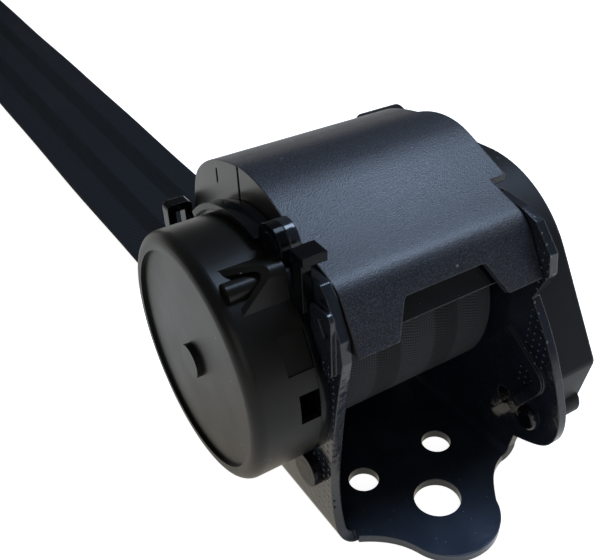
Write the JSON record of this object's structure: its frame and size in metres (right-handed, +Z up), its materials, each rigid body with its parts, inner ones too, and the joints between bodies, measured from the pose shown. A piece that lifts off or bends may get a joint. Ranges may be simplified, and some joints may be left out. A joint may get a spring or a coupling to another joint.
{
  "type": "seat belt retractor",
  "caption": "Car seat belt retractor with a sprung spool between the walls of a bent frame, its webbing drawn out flat to a sliding latch tongue and an end anchor plate.",
  "frame": {"origin": "centre of the anchor hole in the frame's tongue, at the frame's fixing face", "axes": "+Z up off the fixing face; +X along the spool from the spring cover to the sensor cover; +Y from the anchor tongue towards the webbing's way out"},
  "size_m": [0.0915, 0.6794, 0.0885],
  "materials": {
    "frame_coat": "glossy black dip coat on sheet steel",
    "grained_plastic": "fine matt grain",
    "smooth_plastic": "smooth satin",
    "satin_plastic": "fine satin sheen",
    "pale_plastic": "natural, uncoloured",
    "bush_plastic": "natural, low friction",
    "webbing": "woven polyester",
    "spool_metal": "as cast",
    "plain_steel": "plain, oiled",
    "plated_steel": "bright plated",
    "spring_steel": "blued strip"
  },
  "bodies": {
    "retractor": {"frame": "frame_coat", "tie_plate": "frame_coat", "top_cover": "grained_plastic", "webbing_guide": "smooth_plastic", "spring_housing": "smooth_plastic", "push_pins": "smooth_plastic", "spring_cover": "satin_plastic", "power_spring": "spring_steel", "bearing_left": "bush_plastic", "bearing_right": "bush_plastic", "pawl_stud": "plain_steel", "sensor_cover": "smooth_plastic", "cover_rivet": "pale_plastic", "sensor_housing": "pale_plastic", "sensor_ball": "plain_steel", "webbing_run": "webbing", "webbing_strap": "webbing", "end_anchor_plate": "plated_steel"},
    "spool": {"spool_core": "spool_metal", "webbing_roll": "webbing", "spring_arbor": "bush_plastic", "ratchet_wheel": "plain_steel", "flywheel": "smooth_plastic", "torsion_bar": "plain_steel"},
    "pawl": {"locking_pawl": "plain_steel"},
    "lever": {"sensor_lever": "pale_plastic"},
    "tongue": {"tongue_blade": "plated_steel", "tongue_grip": "grained_plastic"}
  },
  "joints": [
    {"name": "spool_spin", "type": "hinge", "parent": "retractor", "child": "spool", "pos_m": [0, 0.038, 0.047], "axis": [1, 0, 0], "range_deg": [-1110, 4800]},
    {"name": "pawl_pivot", "type": "hinge", "parent": "retractor", "child": "pawl", "pos_m": [0.0314, 0.006, 0.022], "axis": [1, 0, 0], "range_deg": [-5, 0]},
    {"name": "lever_pivot", "type": "hinge", "parent": "retractor", "child": "lever", "pos_m": [0.0364, 0.063, 0.0225], "axis": [1, 0, 0], "range_deg": [-5, 0]},
    {"name": "tongue_slide", "type": "slide", "parent": "retractor", "child": "tongue", "axis": [0, 1, 0], "range_m": [-0.4, 0.04]}
  ]
}
